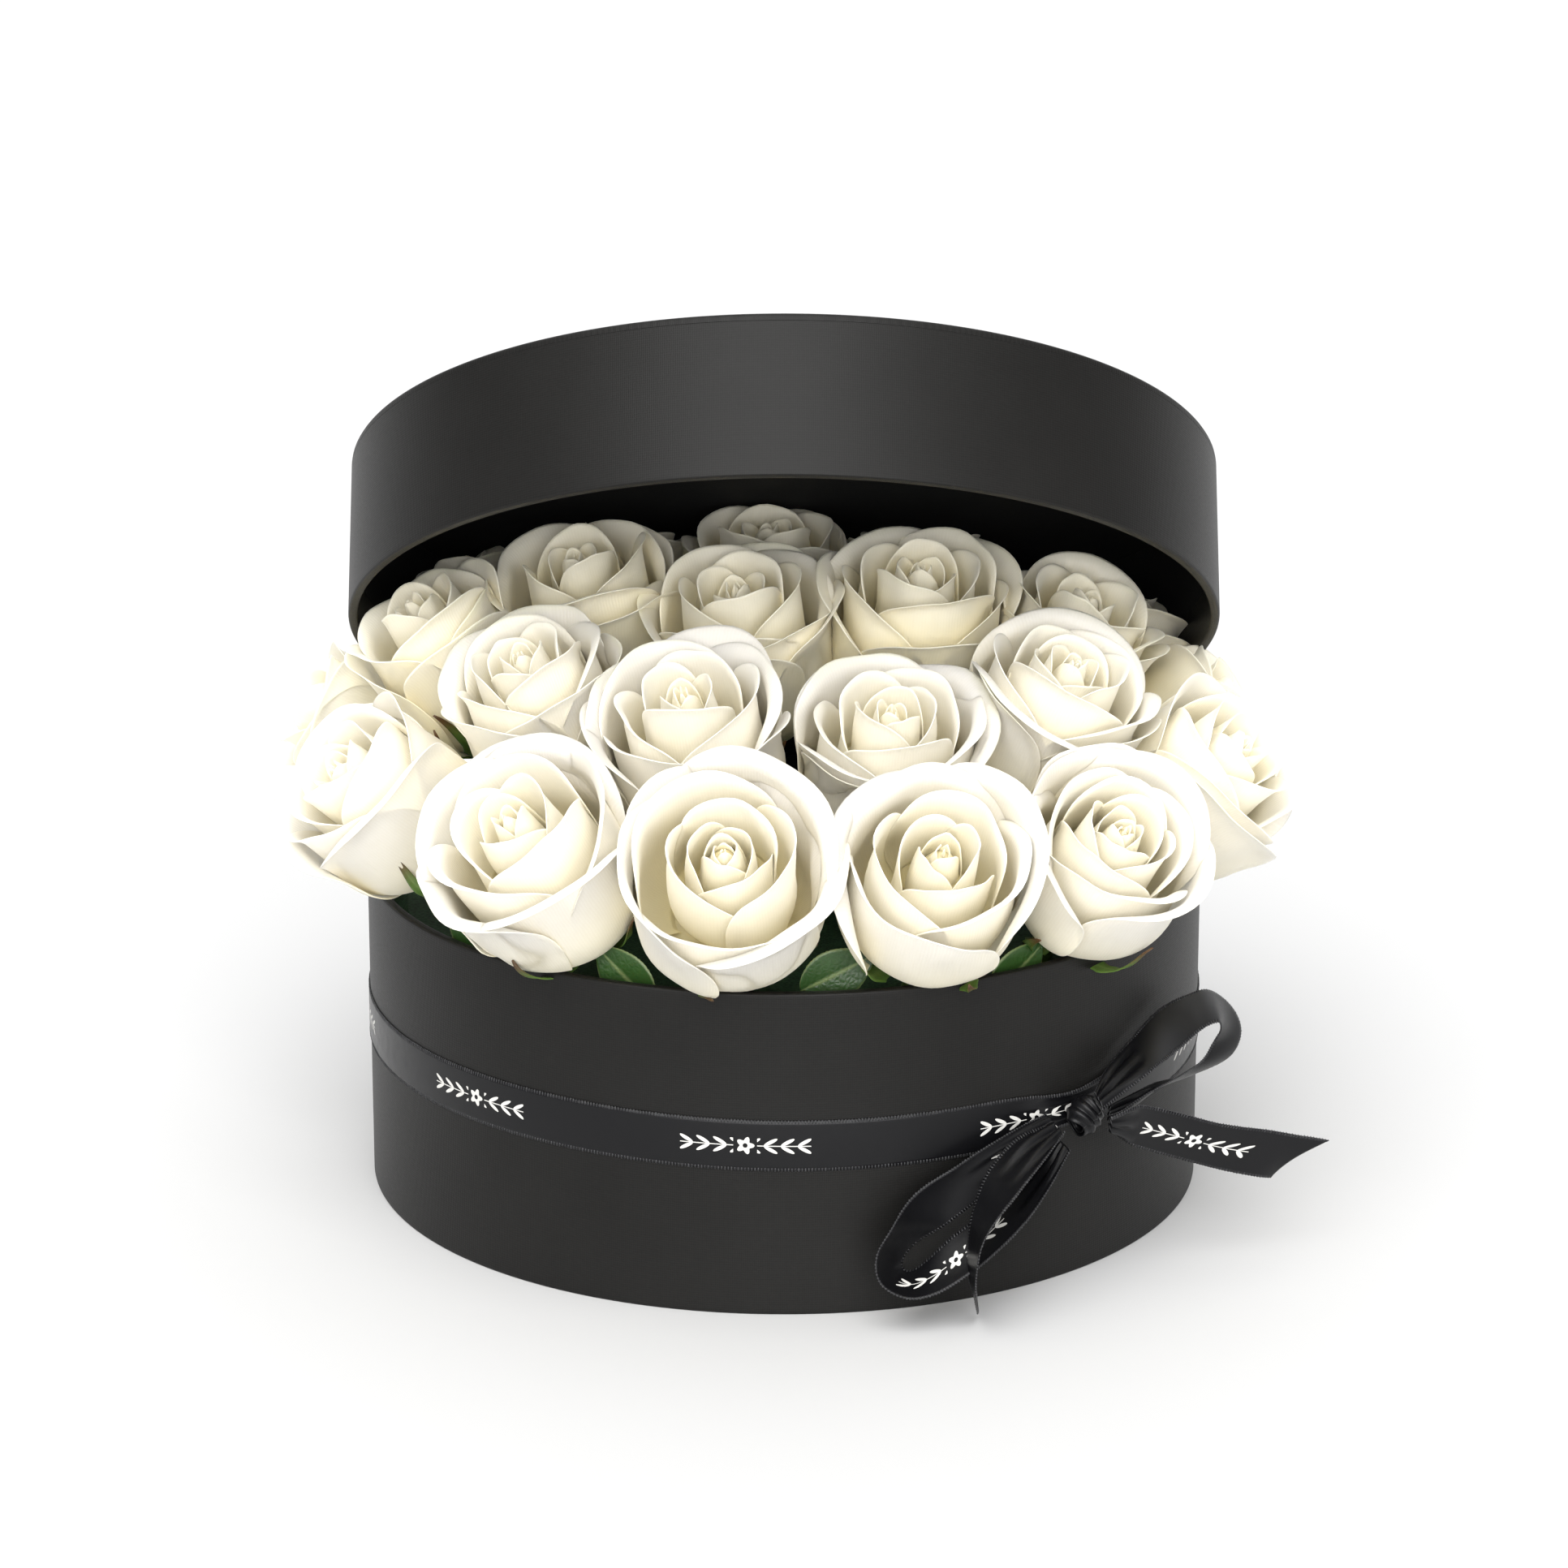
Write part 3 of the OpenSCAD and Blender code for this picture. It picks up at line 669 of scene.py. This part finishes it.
def calyxes():
    """The green cup under each head, and its five sepals laid up the outside of the petals."""
    rng = np.random.default_rng(7)
    shells = Shells()
    for head in heads:
        turn = np.linspace(0, 2 * math.pi, 25)[None, :]
        line = np.array([[0.3, -9.0], [2.6, -8.9], [4.6, -7.6], [6.0, -5.2], [6.5, -2.4], [6.3, -0.3],
                         [5.6, 0.4], [0.3, 0.2]]) * MM
        cup = head.put(line[:, 0][:, None] + 0 * turn, turn + 0 * line[:, 0][:, None],
                       line[:, 1][:, None] + 0 * turn)
        place = paired(turn * 6 * MM, line[:, 1][:, None])
        shells.sheet(cup, 0.3 * MM, SEPAL, place, 1.0)
        start = rng.uniform(0, 2 * math.pi)
        for k in range(5):
            length = rng.uniform(27, 36) * MM
            t = np.linspace(0, 1, 20)[:, None]
            s = np.linspace(-1, 1, 7)[None, :]
            run = head.height * 0.84 * RUN
            lean = petal_lean(run, 7.5 * MM, head.radius, 0.52)
            angle = lean * np.maximum(1 - t * length / run / 0.52, -0.05)
            step = np.diff(t, axis=0) * length
            away = rng.uniform(0.0, 0.5)
            middle = (angle[1:] + angle[:-1]) / 2 + away * smoothstep((t[1:] - 0.75) / 0.25)
            radius = 7.6 * MM + np.concatenate([[[0]], np.sin(middle) * step]).cumsum(0)
            height = -1.6 * MM + np.concatenate([[[0]], np.cos(middle) * step]).cumsum(0)
            barbs = 0.9 * np.exp(-((t - rng.uniform(0.3, 0.5)) / 0.05) ** 2)
            half = (3.1 * (1 - t) ** 0.8 + 0.25 + barbs) * MM
            around = start + k * 2 * math.pi / 5 + rng.normal(0, 0.12) + 0.15 * np.sin(3 * t + k)
            clear = 1.05 * radius + 0.8 * MM + 0.35 * MM * s * s
            grid = head.put(clear, around + s * half / radius, height + 0 * s)
            rib = np.exp(-(s / 0.25) ** 2)[..., None] * 0.4
            tip = smoothstep((t - 0.62) / 0.3)[..., None] * (0.8 + 0 * s[..., None])
            tint = (SEPAL * (1 - rib) + SEPAL_PALE * rib) * (1 - tip) + SEPAL_TIP * tip
            place = paired(s * half, t * length)
            shells.sheet(grid, SEPAL_THICK, tint, place)
    made = shells.piece("rose_calyxes_and_sepals", sepal_finish)
    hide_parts("calyxes")
    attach(made, "root")


def solids_of(node, reach=30 * MM):
    """The points of each separate solid of a CAD node, each solid lying within reach of its points."""
    left = corners_of(node)
    solids = []
    while len(left):
        near = np.linalg.norm(left - left[0], axis=1) < reach
        solids.append(left[near])
        left = left[~near]
    return solids


def leaves():
    """Rose leaves: a toothed outline with a pale edge, folded along the midrib and curved back."""
    rng = np.random.default_rng(11)
    shells = Shells()
    for points in solids_of("leaves"):
        middle = points.mean(0)
        long, _, flat = np.linalg.svd(points - middle, full_matrices=False)[2]
        if flat[2] < 0 and abs(flat[2]) > 0.3 or flat @ (middle * [1, 1, 0]) < 0:
            flat = -flat
        if long[2] < 0:
            long = -long
        wide = np.cross(flat, long)
        length = 23.0 * MM
        t = np.linspace(0, 1, 41)[:, None]
        s = np.linspace(-1, 1, 17)[None, :]
        teeth = 0.035 * np.abs(np.sin(t * 17 * math.pi))
        half = 7.4 * MM * (np.sin(math.pi * t ** 0.85) ** 0.75 * (1 + teeth) + 0.03)
        x = s * half
        y = (t - 0.5) * length
        fold = rng.uniform(0.10, 0.22) * np.abs(x) - rng.uniform(5, 9) * (t - 0.45) ** 2 * MM * 0.35
        veins = 0.12 * MM * np.sin((t * 9 - np.abs(s) * 2.2) * 2 * math.pi) * (1 - np.abs(s))
        grid = middle + x[..., None] * wide + y[..., None] * long + (fold + veins)[..., None] * flat
        rim, midrib = smoothstep((np.abs(s) - 0.88) / 0.12), np.exp(-(s / 0.06) ** 2)
        pale = (np.maximum(rim, midrib) + 0 * t)[..., None]
        green = np.array([0.022, 0.058, 0.012]) * rng.uniform(0.8, 1.5)
        tint = green * (1 - 0.5 * pale) + LEAF_EDGE * 0.5 * pale
        shells.sheet(grid, LEAF_THICK, tint, paired(x, y))
    made = shells.piece("rose_leaves", leaf_finish)
    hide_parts("leaves")
    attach(made, "root")


calyxes()
leaves()


# ---------------------------------------------------------------- box and lid covers

def box_cover():
    """The covering paper of the box, with the soft edge that paper takes as it folds over board."""
    _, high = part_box("box_wrap")
    outer, top = high[0], high[2]
    board_face, inner, under = outer - PAPER, outer - WALL, outer - TURN_IN
    outline = [(under, 0.0), (outer, 0.0), (outer, top), (inner, top), (inner, top - TURN_IN),
               (inner + PAPER, top - TURN_IN), (inner + PAPER, top - PAPER),
               (board_face, top - PAPER), (board_face, PAPER), (under, PAPER)]
    soft = [0, 0.7 * MM, 0.8 * MM, 0.6 * MM, 0, 0, 0, 0, 0, 0]
    made = turned("box_paper_cover", rounded(outline, soft), linen_round)
    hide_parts("box_wrap")
    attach(made, "root")


def lid_covers():
    """The lid's covering papers: one round its wall and over its rim, one over its top."""
    _, top_middle, up = flat_faces("lid_top_wrap")[0]
    if up[2] < 0:
        up = -up
        top_middle = flat_faces("lid_top_wrap")[1][1]
    height = 48.5 * MM
    radius = 130 * MM
    tilt = math.atan2(up[1], up[2])
    mouth = top_middle - up * height
    place = Matrix.Translation(Vector(mouth)) @ Matrix.Rotation(-tilt, 4, "X")
    board_face, inner = radius - PAPER, radius - WALL
    shoulder = height - 2.4 * MM
    wall = [(inner, 0.0), (radius, 0.0), (radius, shoulder), (board_face, shoulder),
            (board_face, PAPER), (inner + PAPER, PAPER), (inner + PAPER, TURN_IN), (inner, TURN_IN)]
    made = turned("lid_wall_paper", rounded(wall, [0.6 * MM, 0.8 * MM, 0.15 * MM, 0, 0, 0, 0, 0]),
                  linen_round, place)
    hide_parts("lid_wall_wrap")
    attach(made, "lid")
    core = 0.2 * MM
    top = [(core, height - PAPER), (board_face, height - PAPER), (board_face, shoulder),
           (radius, shoulder), (radius, height), (core, height)]
    made = turned("lid_top_paper", rounded(top, [0, 0, 0, 0.15 * MM, 1.3 * MM, 0]),
                  linen_round, place, flat=True)
    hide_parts("lid_top_wrap")
    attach(made, "lid")


box_cover()
lid_covers()
for node, material in {"box_wall": board, "box_base": board, "lid_wall": board, "lid_top": board,
                       "base_cover": linen_under, "box_lining": lining, "lid_lining": lining,
                       "liner_tray": liner_finish, "floral_foam": foam_finish, "stems": stem_finish}.items():
    nodes[node].data.materials.clear()
    nodes[node].data.materials.append(material)


# ---------------------------------------------------------------- ribbon

WIDE = 15 * MM
# Stations along each free length: middle, direction across, share of the width that is spread out.
UPPER_LOOP = [((90, -101, 56), (-0.2, 1, 0.1), 0.5), ((95, -93, 59), (-0.4, 0.9, 0.1), 0.8),
              ((103, -85, 64), (-0.4, 0.9, 0.3), 1), ((112, -71, 67), (-0.4, 0.8, 0.5), 1),
              ((120, -62, 69), (-0.2, 0.9, 0.4), 1), ((126, -57, 69), (-0.1, 0.9, 0.3), 1),
              ((130, -55, 64), (0.3, 0.9, 0.1), 1), ((130, -57, 59), (0.6, 0.8, -0.1), 1),
              ((126, -64, 55), (0.6, 0.8, -0.2), 1), ((117, -74, 54), (0.3, 0.9, -0.3), 1),
              ((107, -84, 54), (0.1, 1, -0.2), 1), ((99, -94, 53), (0.2, 1, 0.1), 0.8),
              ((93, -102, 53), (0.1, 1, 0.2), 0.5)]
LOWER_LOOP = [((77, -103, 50), (-0.4, -0.4, 0.8), 0.5), ((66, -112, 46), (-0.6, -0.5, 0.6), 0.9),
              ((53, -120, 39), (-0.5, -0.4, 0.8), 1), ((42, -126, 33), (-0.6, -0.3, 0.7), 1),
              ((34, -130, 26), (-0.5, -0.7, 0.5), 1), ((30, -132, 20), (-0.5, -0.8, 0.4), 1),
              ((31, -133, 15), (-0.5, -0.9, 0.1), 1), ((36, -133, 13), (-0.2, -1, -0.2), 1),
              ((42, -132, 15), (0, -0.9, -0.4), 1), ((49, -129, 19), (0.2, -0.9, -0.5), 1),
              ((57, -125, 24), (0.3, -0.9, -0.4), 1), ((65, -119, 30), (0.4, -0.9, -0.3), 1),
              ((73, -112, 37), (0.3, -0.9, -0.1), 0.9), ((80, -104, 44), (0.3, -0.9, 0), 0.5)]
LOWER_TAIL = [((78, -110, 51), (-0.4, 0.9, 0.1), 0.6), ((70, -119, 48), (-0.5, 0.8, 0.3), 0.9),
              ((62, -128, 42), (-0.5, 0.8, 0.2), 1), ((57, -134, 35), (-0.4, 0.9, -0.1), 1),
              ((54, -138, 27), (-0.2, 0.9, -0.3), 1), ((53, -139, 18), (-0.1, 0.9, -0.4), 1),
              ((54, -137, 10), (0, 0.9, -0.4), 1), ((55, -135, 3), (0, 1, -0.2), 1)]
RIGHT_TAIL = [((93, -106, 51), (0, -0.6, 0.8), 0.6), ((101, -100, 48), (0.1, -0.3, 0.9), 1),
              ((112, -94, 43), (0.1, -0.2, 1), 1), ((126, -88, 37), (0.1, -0.2, 1), 1),
              ((139, -83, 33), (0.2, -0.1, 1), 1), ((146, -80, 31), (0.4, -0.1, 0.9), 1),
              ((153, -78, 30), (0.7, 0, 0.7), 1)]


def between(values, place):
    """A smooth curve through a list of values, at places from 0 to its last index."""
    values = np.asarray(values, float)
    i = np.clip(np.floor(place).astype(int), 0, len(values) - 2)
    t = (place - i)[..., None]
    a, b = values[np.maximum(i - 1, 0)], values[i]
    c, d = values[i + 1], values[np.minimum(i + 2, len(values) - 1)]
    square, cube = 2 * a - 5 * b + 4 * c - d, 3 * b - a - 3 * c + d
    return 0.5 * (2 * b + (c - a) * t + square * t ** 2 + cube * t ** 3)


def ribbon_length(name, node, stations, material, seed, cut=0.0, print_from=0.0):
    """A free length of ribbon: spread flat along its way, and drawn into pleats where the knot holds it."""
    rng = np.random.default_rng(seed)
    last = len(stations) - 1
    across_steps = np.linspace(-1, 1, 15)[None, :]
    steps = np.linspace(0, 1, 12 * last + 1)[:, None]
    slant = 1 - cut * (1 - across_steps) / 2
    place = steps * slant * last
    centre = between([s[0] for s in stations], place) * MM
    across = between([s[1] for s in stations], place)
    across /= np.linalg.norm(across, axis=2, keepdims=True)
    share = np.clip(between([[s[2]] for s in stations], place)[..., 0], 0.05, 1.0)
    ahead = between([s[0] for s in stations], np.minimum(place + 0.05, last))
    behind = between([s[0] for s in stations], np.maximum(place - 0.05, 0))
    run = ahead - behind
    out = np.cross(run, across)
    out /= np.linalg.norm(out, axis=2, keepdims=True)
    drawn = np.sqrt(np.clip(1 - share ** 2, 0, 1))
    pleat = 1.5 * MM * drawn * np.sin(across_steps * 2.6 * math.pi + 0.6)
    crown = 0.35 * MM * (1 - across_steps ** 2) * share
    sway = ripple(rng, 2.5)
    sag = 0.5 * MM * sway(across_steps, 6 * steps) * smoothstep(steps * 5)
    grid = (centre + across * (across_steps * share * WIDE / 2)[..., None]
            + out * (pleat + crown + sag)[..., None])
    spine = grid[:, grid.shape[1] // 2]
    length = np.concatenate([[0], np.cumsum(np.linalg.norm(np.diff(spine, axis=0), axis=1))])
    place_on = paired(length[:, None] + print_from, across_steps * WIDE / 2)
    shells = Shells()
    shells.sheet(grid, 0.38 * MM, np.zeros(3), place_on, 0.9)
    made = shells.piece(name, material)
    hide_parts(node)
    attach(made, "root")
    return grid


def ribbon_band():
    """The ribbon drawn round the box, slightly crowned, with its edges a touch proud."""
    low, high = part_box("ribbon_band")
    inner, middle = high[0] - 0.4 * MM, (low[2] + high[2]) / 2
    angle = np.linspace(0, 2 * math.pi, 361)[:, None]
    across = np.linspace(-1, 1, 13)[None, :]
    rise = 0.4 * MM * np.sin(2 * angle + 0.4) + 0.25 * MM * np.sin(5 * angle)
    bow_at = math.radians(-49)
    near = np.exp(-(((angle - bow_at + math.pi) % (2 * math.pi) - math.pi) / 0.12) ** 2)
    pinch = 1 - 0.35 * near
    crown = 0.10 * MM * (1 - across ** 2)
    gathers = 1.2 * MM * near * np.cos(across * 2.2 * math.pi) ** 2
    radius = inner + 0.22 * MM + crown + gathers
    grid = np.stack([radius * np.cos(angle), radius * np.sin(angle),
                     middle + rise + across * pinch * WIDE / 2], -1)
    print_from = 76.4 * MM
    place = paired(angle * inner + print_from, across * WIDE / 2)
    shells = Shells()
    shells.sheet(grid, 0.34 * MM, np.zeros(3), place, 0.9)
    made = shells.piece("ribbon_round_box", satin_printed)
    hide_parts("ribbon_band")
    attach(made, "root")
    return grid


def ribbon_knot():
    """The knot: one turn of ribbon drawn tight round the crossing, creased along its turn."""
    low, high = (np.array(c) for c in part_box("ribbon_knot"))
    middle = (low + high) / 2
    outward = unit([middle[0], middle[1], 0])
    level = np.cross([0, 0, 1], outward)
    tilt = math.radians(35)
    axis = unit(level * math.cos(tilt) + np.array([0, 0, 1]) * math.sin(tilt))
    side = np.cross(outward, axis)
    turn = np.linspace(0, 2 * math.pi, 73)[:, None]
    x = np.linspace(-1, 1, 29)[None, :]
    wander = x * 3.4 * math.pi + 0.7 * np.sin(turn + 0.4)
    crease = 0.55 * MM * np.sin(wander) * (0.5 + 0.5 * np.cos(turn - 0.5) ** 2)
    waist = 1 - 0.42 * np.abs(x) ** 3
    thick, tall = 4.4 * MM * waist + crease, 5.3 * MM * waist + crease
    length = 4.6 * MM * (1 - 0.12 * np.cos(2 * turn))
    shells = Shells()
    place = paired(turn * 5 * MM, x * 5 * MM)
    for long_share, round_share in ((1, 1), (0.9, 0.72)):
        grid = (middle + (x * length * long_share)[..., None] * axis
                + (round_share * thick * np.cos(turn))[..., None] * outward
                + (round_share * tall * np.sin(turn))[..., None] * side)
        shells.sheet(grid, 0.4 * MM, np.zeros(3), place, 0.9)
    made = shells.piece("ribbon_knot_turn", satin_plain)
    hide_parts("ribbon_knot")
    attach(made, "root")


def stitching():
    """The tree that sets short bars of thread along a guide, each lying across the ribbon's edge."""
    tree = bpy.data.node_groups.new("edge_stitching", "GeometryNodeTree")
    tree.is_modifier = True
    face = tree.interface
    face.new_socket("Guide", in_out="INPUT", socket_type="NodeSocketGeometry")
    for name in ("Pitch", "Stitch length", "Thread thickness"):
        face.new_socket(name, in_out="INPUT", socket_type="NodeSocketFloat")
    face.new_socket("Thread", in_out="INPUT", socket_type="NodeSocketMaterial")
    face.new_socket("Stitches", in_out="OUTPUT", socket_type="NodeSocketGeometry")
    given = tree.nodes.new("NodeGroupInput").outputs
    line = add(tree, "GeometryNodeMeshToCurve", {"Mesh": given["Guide"]}).outputs["Curve"]
    spaced = add(tree, "GeometryNodeResampleCurve", {"Curve": line, "Length": given["Pitch"]},
                 mode="LENGTH").outputs["Curve"]
    across = add(tree, "GeometryNodeInputNamedAttribute", {"Name": "across"}, data_type="FLOAT_VECTOR")
    laid = add(tree, "FunctionNodeAlignRotationToVector", {"Vector": across.outputs["Attribute"]}, axis="Z")
    uneven = add(tree, "FunctionNodeRandomValue", {"Seed": 5}, data_type="FLOAT")
    uneven.inputs[2].default_value, uneven.inputs[3].default_value = 0.88, 1.12
    bar = add(tree, "GeometryNodeMeshCylinder", {"Vertices": 6, "Radius": given["Thread thickness"],
                                                 "Depth": given["Stitch length"]})
    set_out = add(tree, "GeometryNodeInstanceOnPoints",
                  {"Points": spaced, "Instance": bar.outputs["Mesh"], "Rotation": laid.outputs[0],
                   "Scale": uneven.outputs[1]}).outputs["Instances"]
    real = add(tree, "GeometryNodeRealizeInstances", {"Geometry": set_out}).outputs["Geometry"]
    coloured = add(tree, "GeometryNodeSetMaterial", {"Geometry": real, "Material": given["Thread"]})
    tree.links.new(coloured.outputs["Geometry"], tree.nodes.new("NodeGroupOutput").inputs["Stitches"])
    return tree


def edge_stitches(ribbons):
    """Stitches along both edges of every length of ribbon, as one plain mesh."""
    points, edges, ways = [], [], []
    for grid in ribbons:
        for outer, inner in ((0, 1), (-1, -2)):
            way = grid[:, outer] - grid[:, inner]
            way /= np.linalg.norm(way, axis=1, keepdims=True)
            first = sum(map(len, points))
            points.append(grid[:, outer] - way * 0.32 * MM)
            ways.append(way)
            edges += [(first + k, first + k + 1) for k in range(len(grid) - 1)]
    guide = bpy.data.meshes.new("stitch_guide")
    guide.from_pydata(np.concatenate(points), edges, [])
    across = guide.attributes.new("across", "FLOAT_VECTOR", "POINT")
    across.data.foreach_set("vector", np.concatenate(ways).astype(np.float32).ravel())
    maker = bpy.data.objects.new("stitch_guide", guide)
    bpy.context.scene.collection.objects.link(maker)
    tree = stitching()
    sockets = {item.name: item.identifier for item in tree.interface.items_tree if item.in_out == "INPUT"}
    laying = maker.modifiers.new("edge_stitching", "NODES")
    laying.node_group = tree
    laying[sockets["Pitch"]] = 0.95 * MM
    laying[sockets["Stitch length"]] = 1.0 * MM
    laying[sockets["Thread thickness"]] = 0.25 * MM
    laying[sockets["Thread"]] = edge_thread
    live = bpy.context.evaluated_depsgraph_get()
    mesh = bpy.data.meshes.new_from_object(maker.evaluated_get(live), depsgraph=live)
    maker.modifiers.remove(laying)
    bpy.data.objects.remove(maker)
    mesh.name = "ribbon_edge_stitches"
    mesh.materials.clear()
    made = dressed("ribbon_edge_stitches", mesh, edge_thread)
    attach(made, "root")


ribbons = [ribbon_band()]
ribbon_knot()
ribbons += [ribbon_length("bow_upper_loop", "ribbon_loop_upper", UPPER_LOOP, satin_plain, 3),
            ribbon_length("bow_lower_loop", "ribbon_loop_lower", LOWER_LOOP, satin_printed, 4,
                          print_from=40 * MM),
            ribbon_length("bow_lower_tail", "ribbon_tail_lower", LOWER_TAIL, satin_plain, 5,
                          cut=0.15),
            ribbon_length("bow_right_tail", "ribbon_tail_right", RIGHT_TAIL, satin_printed, 6,
                          cut=0.22, print_from=12.5 * MM)]
edge_stitches(ribbons)


# ---------------------------------------------------------------- studio

def studio():
    """A pale paper floor, a white surround that dims at both sides, two broad lamps and the camera."""
    scene = bpy.context.scene
    mesh = bpy.data.meshes.new("studio_floor")
    half = 60.0
    corners = [(-half, -half, 0), (half, -half, 0), (half, half, 0), (-half, half, 0)]
    mesh.from_pydata(corners, [], [(0, 1, 2, 3)])
    floor = bpy.data.objects.new("studio_floor", mesh)
    scene.collection.objects.link(floor)
    material, tree, shader = finish("studio_paper", Roughness=0.9, Specular_IOR_Level=0.1)
    shader.inputs["Base Color"].default_value = (0.56, 0.56, 0.56, 1)
    mesh.materials.append(material)
    world = bpy.data.worlds.new("studio")
    world.use_nodes = True
    sky = world.node_tree
    ways = add(sky, "ShaderNodeSeparateXYZ", {0: add(sky, "ShaderNodeTexCoord").outputs["Generated"]}).outputs
    beside = add(sky, "ShaderNodeMapRange", {"Value": sums(sky, "ABSOLUTE", ways[0]), "From Min": 0.40,
                                             "From Max": 0.85, "To Min": 1.42, "To Max": 0.28}).outputs[0]
    sky.links.new(beside, sky.nodes["Background"].inputs["Strength"])
    sky.nodes["Background"].inputs["Color"].default_value = (1, 1, 1, 1)
    scene.world = world
    for name, place, spread, power in (("sky_panel", (-0.2, -0.9, 1.5), 0.9, 2.2),
                                       ("front_panel", (0.05, -1.0, 0.20), 1.0, 2.9)):
        lamp = bpy.data.lights.new(name, "SUN")
        lamp.angle = spread
        lamp.energy = power
        made = bpy.data.objects.new(name, lamp)
        made.rotation_euler = Vector(place).to_track_quat("Z", "Y").to_euler()
        scene.collection.objects.link(made)
    view = bpy.data.cameras.new("view")
    view.sensor_width = 36
    view.lens = 130.17
    camera = bpy.data.objects.new("view", view)
    camera.location = (0, -1.6199, 0.6318)
    looking_down = 0.3065
    camera.rotation_euler = (math.pi / 2 - looking_down, 0, 0)
    scene.collection.objects.link(camera)
    scene.camera = camera
    scene.view_settings.view_transform = "Standard"


studio()
bpy.context.view_layer.update()
